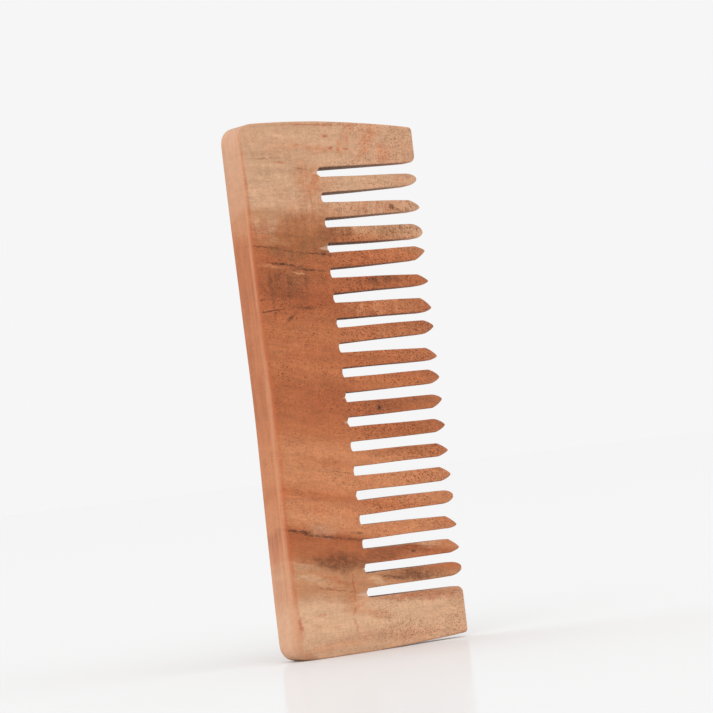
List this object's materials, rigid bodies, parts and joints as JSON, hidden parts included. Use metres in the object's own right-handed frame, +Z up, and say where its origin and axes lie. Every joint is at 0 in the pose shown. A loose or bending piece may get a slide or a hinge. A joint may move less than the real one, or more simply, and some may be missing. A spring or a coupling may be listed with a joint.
{
  "type": "wide tooth comb",
  "caption": "Flat one-piece wooden hair comb with a thick straight spine, wide-set pointed teeth that thin towards their tips, and a solid guard at each end.",
  "frame": {"origin": "on the resting plane, under the middle of the comb's width and thickness, with the comb standing on its lower end", "axes": "+Z up along the comb's length, +X from the spine towards the tooth tips, front face towards -Y"},
  "size_m": [0.0674, 0.0126, 0.17],
  "materials": {
    "wood": "hand-sanded bare wood, satin, red-brown in the middle and pale tan at both ends"
  },
  "bodies": {
    "root": {"spine": "wood", "guard_bottom": "wood", "tooth_01": "wood", "tooth_02": "wood", "tooth_03": "wood", "tooth_04": "wood", "tooth_05": "wood", "tooth_06": "wood", "tooth_07": "wood", "tooth_08": "wood", "tooth_09": "wood", "tooth_10": "wood", "tooth_11": "wood", "tooth_12": "wood", "tooth_13": "wood", "tooth_14": "wood", "tooth_15": "wood", "tooth_16": "wood", "tooth_17": "wood", "guard_top": "wood"}
  },
  "joints": []
}
